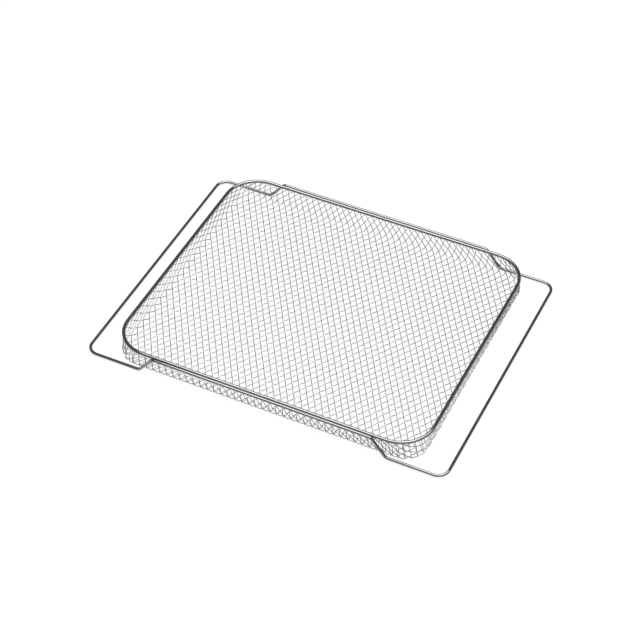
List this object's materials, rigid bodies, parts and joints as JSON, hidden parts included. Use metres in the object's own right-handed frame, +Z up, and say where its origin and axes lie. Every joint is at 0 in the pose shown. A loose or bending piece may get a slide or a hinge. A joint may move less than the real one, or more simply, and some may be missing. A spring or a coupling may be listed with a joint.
{
  "type": "air fryer basket",
  "caption": "Shallow rounded-rectangle wire mesh basket with a rolled steel rim and a bent frame wire whose two lowered wings slide into oven rack grooves.",
  "frame": {"origin": "on the surface that the basket rests on, under the middle of its floor", "axes": "+X along the length, from wing to wing; +Y across the width, from front to back; +Z up, out of the open top"},
  "size_m": [0.4, 0.3, 0.0262],
  "materials": {
    "mesh_steel": "drawn stainless steel wire, woven and pressed",
    "rim_steel": "bright rolled stainless steel strip",
    "frame_steel": "bright polished stainless steel wire"
  },
  "bodies": {
    "root": {"mesh_basket": "mesh_steel", "rim": "rim_steel", "frame_wire": "frame_steel"}
  },
  "joints": []
}
